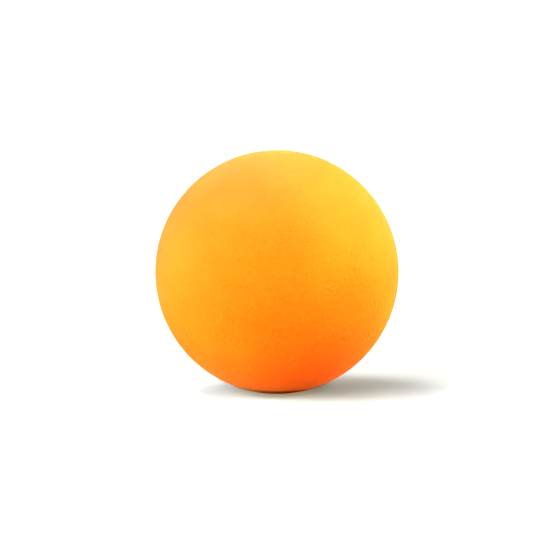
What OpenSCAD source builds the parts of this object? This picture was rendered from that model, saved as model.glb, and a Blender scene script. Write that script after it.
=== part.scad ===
// Table tennis ball: two moulded half shells, joined by a cemented lap seam round their rims.
//
// Frame: the origin is the centre of the ball and +Z is up. The seam lies in the XZ plane,
// so +Y is the seam's axis and points from the front half shell to the rear one.
// The modules below build everything about the Z axis, and on_seam_axis() turns it onto +Y.

/* [Ball] */
// Outside diameter of the finished ball
ball_d = 40; // [38:0.1:44]
// Thickness of the half shells' walls
wall_t = 0.5; // [0.4:0.05:0.8]

/* [Seam] */
// How far the front half's lip reaches past the seam, inside the rear half
lip_w = 1; // [0.8:0.1:2]
// Thickness of that lip
lip_t = 0.3; // [0.2:0.05:0.5]
// How far back from the seam the thickened heel that carries the lip starts
heel_w = 1.5; // [1.2:0.1:2.5]
// Length of the heel's tapered end
taper_w = 0.7; // [0.3:0.1:1]
// Chamfer on the lip's leading edge, which guides it into the rear half
lead_in = 0.12; // [0.05:0.01:0.15]

/* [Cement] */
// Thickness of the cement film, both between the rims and on the lip
film_t = 0.05; // [0.03:0.01:0.1]
// Radial leg of the bead squeezed out at the lip's end
bead_leg = 0.3; // [0.2:0.05:0.5]
// Length of that bead along the wall
bead_run = 0.45; // [0.2:0.05:0.8]

/* [Hidden] */
$fn = 180;
ball_r = ball_d / 2;
wall_r = ball_r - wall_t;
lip_r = wall_r - film_t;
band_r = lip_r - lip_t;
half_film = film_t / 2;
// How far cutting tools run past the solid they cut
past = 1;

// Turns a shape built about Z so that its axis is +Y.
module on_seam_axis() {
    rotate([-90, 0, 0]) children();
}

// The space between two heights on the axis, wide enough for the whole ball.
module slab(low, high) {
    translate([0, 0, low]) cylinder(r = ball_r + past, h = high - low);
}

// The part of a solid sphere between two heights on its axis.
module sphere_zone(r, low, high) {
    intersection() {
        sphere(r = r);
        slab(low, high);
    }
}

// One half of the ball's wall, from the seam's film to the pole, below the seam.
module half_wall() {
    difference() {
        sphere_zone(ball_r, -ball_r - past, -half_film);
        sphere(r = wall_r);
    }
}

// The inside of the band, with a tapered mouth at the heel's end.
module band_bore() {
    cylinder(r = band_r, h = 2 * ball_r, center = true);
    translate([0, 0, -heel_w]) cylinder(r1 = wall_r, r2 = band_r, h = taper_w);
}

// What the chamfer takes off the lip's outer edge.
module lip_chamfer() {
    difference() {
        slab(lip_w - lead_in, lip_w + past);
        translate([0, 0, lip_w - lead_in]) cylinder(r1 = lip_r, r2 = lip_r - lead_in, h = lead_in);
    }
}

// The band inside the front half's rim: a heel on its wall, and a lip past the seam.
module rim_band() {
    difference() {
        union() {
            sphere_zone(wall_r + wall_t / 2, -heel_w, -half_film);
            sphere_zone(lip_r, -heel_w, lip_w);
        }
        band_bore();
        lip_chamfer();
    }
}

// The cement between the two rims, out to the ball's surface.
module butt_film() {
    difference() {
        sphere_zone(ball_r, -half_film, half_film);
        sphere(r = lip_r);
    }
}

// The cement between the lip and the rear half's wall, with the bead at the lip's end.
module lap_film() {
    difference() {
        sphere_zone(wall_r, -half_film, lip_w);
        difference() {
            sphere(r = lip_r);
            lip_chamfer();
        }
    }
}

// The fillet of cement in the corner between the lip's end and the rear half's wall.
module squeezed_bead() {
    intersection() {
        sphere(r = wall_r);
        difference() {
            slab(lip_w, lip_w + bead_run);
            translate([0, 0, lip_w]) cylinder(r1 = wall_r - bead_leg, r2 = wall_r, h = bead_run);
        }
    }
}

module front_half_shell() {
    color("darkorange") on_seam_axis() {
        half_wall();
        rim_band();
    }
}

module rear_half_shell() {
    color("orange") on_seam_axis() mirror([0, 0, 1]) half_wall();
}

module seam_cement() {
    color("peachpuff") on_seam_axis() {
        butt_film();
        lap_film();
        squeezed_bead();
    }
}

front_half_shell();
rear_half_shell();
seam_cement();
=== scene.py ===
import math

import bmesh
import bpy
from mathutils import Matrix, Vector, noise


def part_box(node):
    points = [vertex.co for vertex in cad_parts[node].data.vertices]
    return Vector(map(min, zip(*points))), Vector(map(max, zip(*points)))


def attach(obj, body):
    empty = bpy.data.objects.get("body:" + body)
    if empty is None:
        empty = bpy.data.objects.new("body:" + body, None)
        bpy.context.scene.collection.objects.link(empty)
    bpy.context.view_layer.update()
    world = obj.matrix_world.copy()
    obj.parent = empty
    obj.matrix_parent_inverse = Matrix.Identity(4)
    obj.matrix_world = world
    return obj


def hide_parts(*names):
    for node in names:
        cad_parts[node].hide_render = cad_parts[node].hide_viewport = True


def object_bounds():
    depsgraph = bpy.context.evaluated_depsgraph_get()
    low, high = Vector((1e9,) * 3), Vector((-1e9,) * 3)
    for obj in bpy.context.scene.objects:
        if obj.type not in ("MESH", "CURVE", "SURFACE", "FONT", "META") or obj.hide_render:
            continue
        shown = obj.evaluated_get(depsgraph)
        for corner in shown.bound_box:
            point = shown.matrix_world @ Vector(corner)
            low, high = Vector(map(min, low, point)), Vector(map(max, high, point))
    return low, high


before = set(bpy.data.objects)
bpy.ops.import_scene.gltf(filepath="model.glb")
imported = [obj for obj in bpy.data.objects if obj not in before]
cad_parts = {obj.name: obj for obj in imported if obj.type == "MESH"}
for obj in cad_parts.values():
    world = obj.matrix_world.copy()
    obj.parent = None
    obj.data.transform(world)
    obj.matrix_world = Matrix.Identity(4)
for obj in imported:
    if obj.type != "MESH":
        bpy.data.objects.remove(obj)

MM = 0.001
cad_low, cad_high = [list(corner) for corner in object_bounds()]

# The ball's sizes, as the design has them.
BALL_R = (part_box("seam_cement")[1][2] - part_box("seam_cement")[0][2]) / 2
LIP_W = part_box("front_half_shell")[1][1]
WALL_T = 0.5 * MM
FILM_T = 0.05 * MM
LIP_T = 0.3 * MM
LEAD_IN = 0.12 * MM
HEEL_W = 1.5 * MM
TAPER_W = 0.7 * MM
WALL_R = BALL_R - WALL_T
LIP_R = WALL_R - FILM_T
BAND_R = LIP_R - LIP_T
HALF_FILM = FILM_T / 2
# The rounding of the rims' outer edges, and the angle from which an edge is shaded as a sharp one.
RIM_ROUND = 0.035 * MM
SHARP_DEGREES = 40

# The meshes: the outer skin's cells along each face of the cube that a skin is blown up from, and how many
# of them fit along one cell of the inner skin.
SKIN_CELLS = 160
CELLS_PER_INNER_CELL = 4

# The grain of the skin: shallow pits, and a soft unevenness under them. Everything goes inwards.
# A pit's radius is a share of its cell, and PIT_SHARE is about how many cells hold one, picked by a noise
# that PIT_PICK spreads out so that neighbours differ.
PIT_CELL = 1.15 * MM
PIT_RADIUS = 0.34
PIT_DEPTH = 0.045 * MM
PIT_SHARE = 0.55
PIT_PICK = 7.31
# The unevenness, as pairs of a size and a depth.
SWELL_SIZES = ((0.95 * MM, 0.004 * MM), (3.1 * MM, 0.006 * MM))
# How far from the middle of the seam the grain reaches its full depth.
RIM_FADE = 0.5 * MM

# The shells' plastic: two tones of orange in clouds, raised flecks painted paler as a painted highlight,
# and sunken dents painted darker as painted shade.
SHELL_TONES = ((0.963, 0.173, 0.009), (0.977, 0.186, 0.012))
FLECK_HIGHLIGHT_COLOUR = (1.0, 0.26, 0.02)
DENT_SHADE_COLOUR = (0.9, 0.12, 0.002)
FLECK_HIGHLIGHT_SHARE = 0.24
DENT_SHADE_SHARE = 0.26
# How far the flecks rise and the dents sink, and how much of that the finest grain adds.
BUMP_DEPTH = 0.045 * MM
FINE_GRAIN = 0.3
# The side of the ball on which the grain, with its painted highlights and painted shade, is strongest: low
# on the front, a little to the right.
GRAINY_SIDE = (0.2, -0.85, -0.5)

# The cement between the shells: two tones of orange in clouds.
CEMENT_TONES = ((0.93, 0.17, 0.006), (0.96, 0.2, 0.01))
CEMENT_BUMP_DEPTH = 0.01 * MM

# The sheet that the ball stands on: half its width, how much light it throws back, and how that varies.
SHEET_HALF = 3.0
SHEET_TONE = 0.4
SHEET_TONE_SPREAD = 0.005

# The spot of the sheet under the ball that is too dark to throw light back up. It lies under the sheet.
SPOT_R = 9.0 * MM
SPOT_UNDER = 0.01 * MM
SPOT_SIDES = 48

# The view. The ball's width and its centre's distance from the middle are shares of the frame's width.
LENS = 100.0
SENSOR = 36.0
NEAREST_SEEN = 0.01
FURTHEST_SEEN = 20.0
CAMERA_ELEVATION = 5.0
BALL_IN_FRAME = 0.443
BALL_RIGHT = 0.0035
BALL_UP = 0.0055

# A painted warm glow on the sheet round the ball's foot, which stands in for the light that the thin shells
# let through.
GLOW_WIDTH_MM = 12.0
GLOW_FALLOFF = 2.0
GLOW_COLOUR = (1.0, 0.75, 0.35)
GLOW_STRENGTH = 0.45

# The white behind the ball, and the gamma that the view adds.
WHITE = (1.0, 1.0, 1.0)
BACKDROP_STRENGTH = 1.15
VIEW_GAMMA = 0.8


# ---------------------------------------------------------------------------------------------- half shells


def placed(name, data):
    """A Blender object with that data, in the scene."""
    made = bpy.data.objects.new(name, data)
    bpy.context.scene.collection.objects.link(made)
    return made


def smooth(x):
    """0 to 1 as x goes from 0 to 1, with level ends."""
    x = min(max(x, 0.0), 1.0)
    return x * x * (3 - 2 * x)


def grain_depth(p):
    """How far the skin lies under the true sphere at point p, in metres."""
    depth = 0.0
    for size, amount in SWELL_SIZES:
        depth += amount * (0.5 + 0.5 * noise.noise(p / size))
    distances, centres = noise.voronoi(p / PIT_CELL)
    chance = 0.5 + 0.5 * noise.noise(centres[0] * PIT_PICK)
    if chance < PIT_SHARE:
        depth += PIT_DEPTH * smooth(1 - distances[0] / PIT_RADIUS)
    return depth * smooth(abs(p.y) / RIM_FADE)


class Mesh:
    """Vertices and faces that are added piece by piece."""

    def __init__(self):
        self.points, self.faces = [], []

    def add(self, point):
        self.points.append(point)
        return len(self.points) - 1

    def strip(self, ring_a, ring_b):
        """Faces between two closed rings. Where ring_a has more points, a face takes in several of them."""
        step = len(ring_a) // len(ring_b)
        for i in range(len(ring_b)):
            along = [ring_a[(i * step + k) % len(ring_a)] for k in range(step + 1)]
            self.faces.append(along + [ring_b[(i + 1) % len(ring_b)], ring_b[i]])


def cap(mesh, cells, radius, rim_y, depth=None):
    """A skin over the part of a sphere from its pole at -Y up to the height rim_y. Returns its rim.

    Its quads are those of half a cube, blown up to the sphere, so they are even and none is pinched."""
    rim_angle = math.pi / 2 + math.asin(rim_y / radius)
    index = {}

    def corner(i, j, k):
        if (i, j, k) not in index:
            turns = [(2 * c / cells - 1) * math.pi / 4 for c in (i, j, k)]
            direction = Vector([math.tan(t) for t in turns]).normalized()
            angle = math.acos(-direction.y) * rim_angle / (math.pi / 2)
            around = Vector((direction.x, 0, direction.z)).normalized()
            point = radius * (around * math.sin(angle) - Vector((0, math.cos(angle), 0)))
            if depth:
                point *= 1 - depth(point) / radius
            index[i, j, k] = mesh.add(point)
        return index[i, j, k]

    half = cells // 2
    for a in range(cells):
        for b in range(cells):
            mesh.faces.append([corner(a + s, 0, b + t) for s, t in ((0, 0), (1, 0), (1, 1), (0, 1))])
    for j in range(half):
        for a in range(cells):
            for s in (0, cells):
                steps_up = ((j, a), (j + 1, a), (j + 1, a + 1), (j, a + 1))
                mesh.faces.append([corner(s, up, along) for up, along in steps_up])
                mesh.faces.append([corner(along, up, s) for up, along in steps_up])
    steps = range(cells)
    square = [(a, 0) for a in steps] + [(cells, a) for a in steps]
    square += [(cells - a, cells) for a in steps] + [(0, cells - a) for a in steps]
    return [corner(i, half, k) for i, k in square]


def ring(mesh, like, radius, y):
    """A ring of that radius at the height y, with its points at the same angles as the ring like."""
    made = []
    for i in like:
        p = mesh.points[i]
        across = math.hypot(p.x, p.z)
        made.append(mesh.add(Vector((p.x / across * radius, y, p.z / across * radius))))
    return made


def sphere_width(radius, y):
    """Half the width of a sphere at that height."""
    return math.sqrt(radius**2 - y**2)


def rounded_edge(y):
    """The outer edge of a rim at y, as (radius, height) from the skin to the rim's flat."""
    width = sphere_width(BALL_R, y - RIM_ROUND)
    turns = [math.radians(a) for a in (30, 60, 90)]
    return [(width - RIM_ROUND * (1 - math.cos(t)), y - RIM_ROUND * (1 - math.sin(t))) for t in turns]


def lip_profile():
    """The front half's rim inside the rounded edge: the flat, the lip for the rear half, and the heel."""
    lip_top = LIP_W - LEAD_IN
    profile = [(sphere_width(LIP_R, y), y) for y in (-HALF_FILM, 0.5 * lip_top, lip_top)]
    profile.append((sphere_width(LIP_R, lip_top) - LEAD_IN, LIP_W))
    profile.append((BAND_R, LIP_W))
    profile.append((BAND_R, TAPER_W - HEEL_W))
    return profile


def half_shell(name, profile, inner_rim_y):
    """A half shell with its pole at -Y: the outer skin, the rim's profile, and the inner skin."""
    mesh = Mesh()
    outer = cap(mesh, SKIN_CELLS, BALL_R, -HALF_FILM - RIM_ROUND, grain_depth)
    last = outer
    for radius, y in rounded_edge(-HALF_FILM) + profile:
        following = ring(mesh, outer, radius, y)
        mesh.strip(last, following)
        last = following
    mesh.strip(last, cap(mesh, SKIN_CELLS // CELLS_PER_INNER_CELL, WALL_R, inner_rim_y))
    return finished(name, mesh)


def finished(name, mesh):
    """The Blender object of a closed Mesh, faces turned outwards and shaded smooth but for sharp edges."""
    data = bpy.data.meshes.new(name)
    data.from_pydata([tuple(p) for p in mesh.points], [], mesh.faces)
    bm = bmesh.new()
    bm.from_mesh(data)
    bmesh.ops.recalc_face_normals(bm, faces=bm.faces)
    bm.to_mesh(data)
    bm.free()
    data.shade_smooth()
    data.set_sharp_from_angle(angle=math.radians(SHARP_DEGREES))
    return placed(name, data)


def mirrored(piece):
    """The piece turned over to the other side of the seam."""
    data = piece.data
    for vertex in data.vertices:
        vertex.co.y = -vertex.co.y
    data.flip_normals()
    return piece


front = half_shell("front_shell_skin", lip_profile(), -HEEL_W)
rear = mirrored(half_shell("rear_shell_skin", [], -HALF_FILM))


# ------------------------------------------------------------------------------------------------ materials


class Nodes:
    """A material's node tree, with short calls for what is made often."""

    def __init__(self, name):
        self.material = bpy.data.materials.new(name)
        self.material.use_nodes = True
        self.tree = self.material.node_tree
        self.shader = self.tree.nodes["Principled BSDF"]
        coordinates = self.tree.nodes.new("ShaderNodeTexCoord")
        self.place_mm = self.vector("MULTIPLY", coordinates.outputs["Object"], (1 / MM,) * 3)

    def link(self, out, into):
        """Joins an output socket to an input socket."""
        self.tree.links.new(out, into)

    def surface(self, values):
        """Sets the inputs of the shader that are the same all over."""
        for name, value in values.items():
            self.shader.inputs[name].default_value = value

    def vector(self, operation, value, other=None):
        """The result of an operation on a vector socket and, where it takes two, another vector."""
        n = self.tree.nodes.new("ShaderNodeVectorMath")
        n.operation = operation
        self.link(value, n.inputs[0])
        if other is not None:
            n.inputs[1].default_value = other
        return n.outputs["Value" if operation in ("LENGTH", "DOT_PRODUCT") else "Vector"]

    def noise(self, size_mm, detail, seed, distortion=0.0):
        """Noise with features of about that size."""
        n = self.tree.nodes.new("ShaderNodeTexNoise")
        n.noise_dimensions = "4D"
        n.inputs["W"].default_value = seed
        n.inputs["Scale"].default_value = 1 / size_mm
        n.inputs["Detail"].default_value = detail
        n.inputs["Distortion"].default_value = distortion
        self.link(self.place_mm, n.inputs["Vector"])
        return n.outputs["Fac"]

    def spread(self, value, low, high, to_low=0.0, to_high=1.0):
        """value mapped smoothly from one range to another."""
        n = self.tree.nodes.new("ShaderNodeMapRange")
        n.interpolation_type = "SMOOTHSTEP"
        ends = {"From Min": low, "From Max": high, "To Min": to_low, "To Max": to_high}
        for name, number in ends.items():
            n.inputs[name].default_value = number
        self.link(value, n.inputs["Value"])
        return n.outputs["Result"]

    def math(self, operation, a, b):
        """The result of an operation on two values, each a number or a socket."""
        n = self.tree.nodes.new("ShaderNodeMath")
        n.operation = operation
        for socket, value in zip(n.inputs, (a, b)):
            if isinstance(value, float):
                socket.default_value = value
            else:
                self.link(value, socket)
        return n.outputs[0]

    def glow(self, colour, strength):
        """A colour that the surface gives off, as strongly as a socket says. It lights nothing else."""
        self.shader.inputs["Emission Color"].default_value = (*colour, 1.0)
        self.link(strength, self.shader.inputs["Emission Strength"])
        self.material.cycles.emission_sampling = "NONE"

    def from_foot(self):
        """The distance in mm from the vertical line through the ball's centre."""
        level = self.vector("MULTIPLY", self.place_mm, (1.0, 1.0, 0.0))
        return self.vector("LENGTH", level)

    def facing(self, side):
        """1 on the side of the ball that faces the direction side, and -1 on the far side."""
        outwards = self.vector("NORMALIZE", self.place_mm)
        return self.vector("DOT_PRODUCT", outwards, Vector(side).normalized())

    def blend(self, amount, a, b):
        """A colour between two colours, each a tuple or a socket."""
        n = self.tree.nodes.new("ShaderNodeMix")
        n.data_type = "RGBA"
        for socket, value in ((n.inputs[0], amount), (n.inputs[6], a), (n.inputs[7], b)):
            if isinstance(value, tuple):
                socket.default_value = (*value, 1.0)
            else:
                self.link(value, socket)
        return n.outputs[2]

    def bump(self, height, depth):
        """A surface that rises by depth, in metres, where height goes from 0 to 1."""
        n = self.tree.nodes.new("ShaderNodeBump")
        n.inputs["Distance"].default_value = depth
        self.link(height, n.inputs["Height"])
        self.link(n.outputs[0], self.shader.inputs["Normal"])


def shell_plastic():
    """Matte orange plastic, tumbled with grit.

    It has raised flecks and small dents, which show more in some patches and low on the front, and faint
    clouds of colour. Besides their relief, the flecks carry a painted highlight in a paler colour and the
    dents carry painted shade in a darker one."""
    n = Nodes("matte_orange_plastic")
    patches = n.spread(n.noise(2.8, detail=2.0, seed=15.0), 0.4, 0.6, to_low=0.4)
    patches = n.math("MULTIPLY", patches, n.spread(n.facing(GRAINY_SIDE), 0.4, 0.9, to_low=0.5))
    fleck_noise = n.noise(0.75, detail=1.0, distortion=1.0, seed=3.0)
    flecks_and_highlights = n.math("MULTIPLY", n.spread(fleck_noise, 0.55, 0.68), patches)
    dent_noise = n.noise(0.7, detail=1.0, distortion=1.0, seed=4.0)
    dents_and_shade = n.math("MULTIPLY", n.spread(dent_noise, 0.56, 0.69), patches)

    clouds = n.spread(n.noise(7.0, detail=3.0, seed=1.0), 0.3, 0.7)
    colour = n.blend(clouds, *SHELL_TONES)
    # Painted highlight on the raised flecks and painted shade in the sunken dents, laid over the clouds of
    # colour.
    colour = n.blend(n.math("MULTIPLY", flecks_and_highlights, FLECK_HIGHLIGHT_SHARE), colour, FLECK_HIGHLIGHT_COLOUR)
    colour = n.blend(n.math("MULTIPLY", dents_and_shade, DENT_SHADE_SHARE), colour, DENT_SHADE_COLOUR)
    n.link(colour, n.shader.inputs["Base Color"])

    grain = n.math("MULTIPLY", n.noise(0.45, detail=2.0, seed=8.0), FINE_GRAIN)
    n.bump(n.math("ADD", n.math("SUBTRACT", flecks_and_highlights, dents_and_shade), grain), BUMP_DEPTH)

    rough = n.spread(n.noise(2.0, detail=3.0, seed=6.0), 0.3, 0.7, to_low=0.56, to_high=0.68)
    n.link(rough, n.shader.inputs["Roughness"])
    n.surface({
        "Specular IOR Level": 0.04,
        "Sheen Weight": 0.07,
        "Sheen Roughness": 0.45,
        "Subsurface Weight": 0.25,
        "Subsurface Radius": (1.0, 0.35, 0.08),
        "Subsurface Scale": 0.35 * MM,
    })
    return n.material


def cement():
    """Dried solvent cement, glossier than the shells."""
    n = Nodes("seam_cement_plastic")
    clouds = n.spread(n.noise(0.8, detail=3.0, seed=7.0), 0.3, 0.7)
    n.link(n.blend(clouds, *CEMENT_TONES), n.shader.inputs["Base Color"])
    rough = n.spread(n.noise(0.5, detail=2.0, seed=8.0), 0.3, 0.7, to_low=0.3, to_high=0.45)
    n.link(rough, n.shader.inputs["Roughness"])
    n.surface({"Specular IOR Level": 0.2})
    n.bump(n.noise(0.3, detail=3.0, seed=9.0), CEMENT_BUMP_DEPTH)
    return n.material


def paper():
    """The pale sheet that the ball stands on, with a painted glow round the foot that stands in for the
    light that comes through the ball.
    """
    n = Nodes("pale_paper")
    fibres = n.noise(1.5, detail=3.0, seed=10.0)
    darker, paler = [(SHEET_TONE + change,) * 3 for change in (-SHEET_TONE_SPREAD, SHEET_TONE_SPREAD)]
    n.link(n.blend(fibres, darker, paler), n.shader.inputs["Base Color"])
    # Painted light: the sheet gives off a warm glow that fades away from the ball's foot.
    near = n.spread(n.from_foot(), 0.0, GLOW_WIDTH_MM, to_low=1.0, to_high=0.0)
    n.glow(GLOW_COLOUR, n.math("MULTIPLY", n.math("POWER", near, GLOW_FALLOFF), GLOW_STRENGTH))
    n.surface({"Roughness": 0.9, "Specular IOR Level": 0.1})
    return n.material


# The shells throw no light on the sheet or on each other: the lamps and the sheet's glow stand in for it.
orange = shell_plastic()
for piece, node in ((front, "front_half_shell"), (rear, "rear_half_shell")):
    piece.data.materials.append(orange)
    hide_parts(node)
    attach(piece, "root")
    piece.visible_diffuse = False
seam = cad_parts["seam_cement"]
for material_slot in seam.material_slots:
    material_slot.material = cement()


# --------------------------------------------------------------------------------------------------- studio


def flat(name, corners, z):
    """A flat face of the stage at the height z. The ball neither mirrors it nor takes light from it."""
    data = bpy.data.meshes.new(name)
    data.from_pydata([(x, y, z) for x, y in corners], [], [range(len(corners))])
    face = placed(name, data)
    face.visible_diffuse = False
    face.visible_glossy = False
    return face


def floor():
    """A wide flat sheet under the ball's lowest point."""
    h = SHEET_HALF
    sheet = flat("floor", [(-h, -h), (h, -h), (h, h), (-h, h)], cad_low[2])
    sheet.data.materials.append(paper())
    return sheet


def dark_spot():
    """The middle of the sheet, where the ball's shadow is so deep that no light comes back up.

    It lies just under the sheet, unseen, and keeps the low lamps off the foot of the ball."""
    turns = [math.tau * i / SPOT_SIDES for i in range(SPOT_SIDES)]
    corners = [(SPOT_R * math.cos(t), SPOT_R * math.sin(t)) for t in turns]
    spot = flat("dark_spot", corners, cad_low[2] - SPOT_UNDER)
    spot.visible_camera = False
    return spot


def direction(azimuth, elevation):
    """The unit vector from the ball towards a place. Azimuth 0 is -Y, where the camera is, and 90 is +X."""
    a, e = math.radians(azimuth), math.radians(elevation)
    return Vector((math.sin(a) * math.cos(e), -math.cos(a) * math.cos(e), math.sin(e)))


def lamp(name, azimuth, elevation, angle, strength, tint, lit):
    """A large far softbox, as wide as angle when seen from the ball, which lights only the group lit.

    Square to it, a white face is as bright as strength says. Only the ball and the dark spot throw shadows,
    so a low lamp shines through the sheet."""
    data = bpy.data.lights.new(name, "SUN")
    data.energy = strength * math.pi
    data.angle = math.radians(angle)
    data.color = tint
    data.cycles.use_multiple_importance_sampling = False
    light = placed(name, data)
    light.rotation_euler = direction(azimuth, elevation).to_track_quat("Z", "Y").to_euler()
    light.light_linking.receiver_collection = lit
    light.light_linking.blocker_collection = blockers


def group(name, members):
    """A set of objects that lamps can be kept to."""
    made = bpy.data.collections.new(name)
    for member in members:
        made.objects.link(member)
    return made


def camera():
    """A long lens a little above the ball, which it holds nearly in the middle of the frame."""
    # From this distance the ball's outline is BALL_IN_FRAME wide.
    away = math.hypot(LENS / SENSOR * BALL_R / (BALL_IN_FRAME / 2), BALL_R)
    frame_w = away * SENSOR / LENS
    data = bpy.data.cameras.new("camera")
    data.lens = LENS
    data.sensor_width = SENSOR
    data.clip_start = NEAREST_SEEN
    data.clip_end = FURTHEST_SEEN
    body = placed("camera", data)
    back = direction(0, CAMERA_ELEVATION)
    turn = back.to_track_quat("Z", "Y")
    aside = turn @ Vector((-BALL_RIGHT, -BALL_UP, 0)) * frame_w
    body.rotation_euler = turn.to_euler()
    body.location = back * away + aside
    bpy.context.scene.camera = body


def surround():
    """The white room behind the ball, which is seen and adds no light of its own."""
    world = bpy.data.worlds.new("surround")
    world.use_nodes = True
    background = world.node_tree.nodes["Background"]
    background.inputs["Color"].default_value = (*WHITE, 1.0)
    background.inputs["Strength"].default_value = BACKDROP_STRENGTH
    for kind in ("diffuse", "glossy", "transmission", "scatter"):
        setattr(world.cycles_visibility, kind, False)
    bpy.context.scene.world = world


# Lamps as name, azimuth, elevation, width, strength and tint. A photographer would flag them just so: one
# set lights the ball and is kept off the sheet, and the other lights the sheet and throws the ball's shadow
# on it. The low sheet_glow lamps stand in for the light that the lit sheet throws back up at the ball. The
# dark spot keeps them off the foot.
BALL_LAMPS = (
    ("right_high", 90, 35, 60, 3.4, (1.0, 1.0, 0.45)),
    ("right", 90, 15, 30, 0.5, (1.0, 1.0, 0.6)),
    ("front_left", 315, 15, 30, 1.85, (1.0, 1.0, 0.05)),
    ("left", 270, 15, 30, 0.97, (1.0, 1.0, 1.3)),
    ("left_top", 225, 65, 60, 0.6, (1.0, 0.9, 1.8)),
    ("ceiling", 0, 90, 60, 3.2, (0.0, 0.0, 1.0)),
    ("sheet_glow_left", 270, -12, 24, 0.3, (0.5, 0.9, 2.3)),
    ("sheet_glow_front", 0, -35, 24, 0.55, (0.85, 1.1, 1.3)),
    ("sheet_glow_right", 45, -12, 24, 0.55, (1.0, 0.15, 0.0)),
    ("back", 182, -4, 16, 1.0, WHITE),
    ("sheet_glow_back", 180, -15, 24, 0.15, (1.0, 0.6, 0.15)),
)
SHEET_LAMPS = (
    ("sheet_key", 262, 67, 24, 0.74, WHITE),
    ("sheet_left_high", 270, 35, 60, 0.75, (0.8, 0.93, 1.0)),
    ("sheet_left", 270, 20, 44, 0.8, (1.0, 0.8, 0.45)),
    ("sheet_front_left", 315, 20, 44, 4.2, WHITE),
    ("sheet_front_right", 45, 20, 44, 3.3, (1.0, 0.93, 0.78)),
    ("sheet_top", 0, 90, 60, 0.5, (0.7, 0.82, 1.0)),
)
ball_group = group("ball_group", [front, rear, seam])
blockers = group("blockers", [front, rear, seam, dark_spot()])
sheet_group = group("sheet_group", [floor()])
for lamps, lit in ((BALL_LAMPS, ball_group), (SHEET_LAMPS, sheet_group)):
    for name, azimuth, elevation, angle, strength, tint in lamps:
        lamp(name, azimuth, elevation, angle, strength, tint, lit)
surround()
camera()
bpy.context.scene.view_settings.view_transform = "Standard"
bpy.context.scene.view_settings.gamma = VIEW_GAMMA
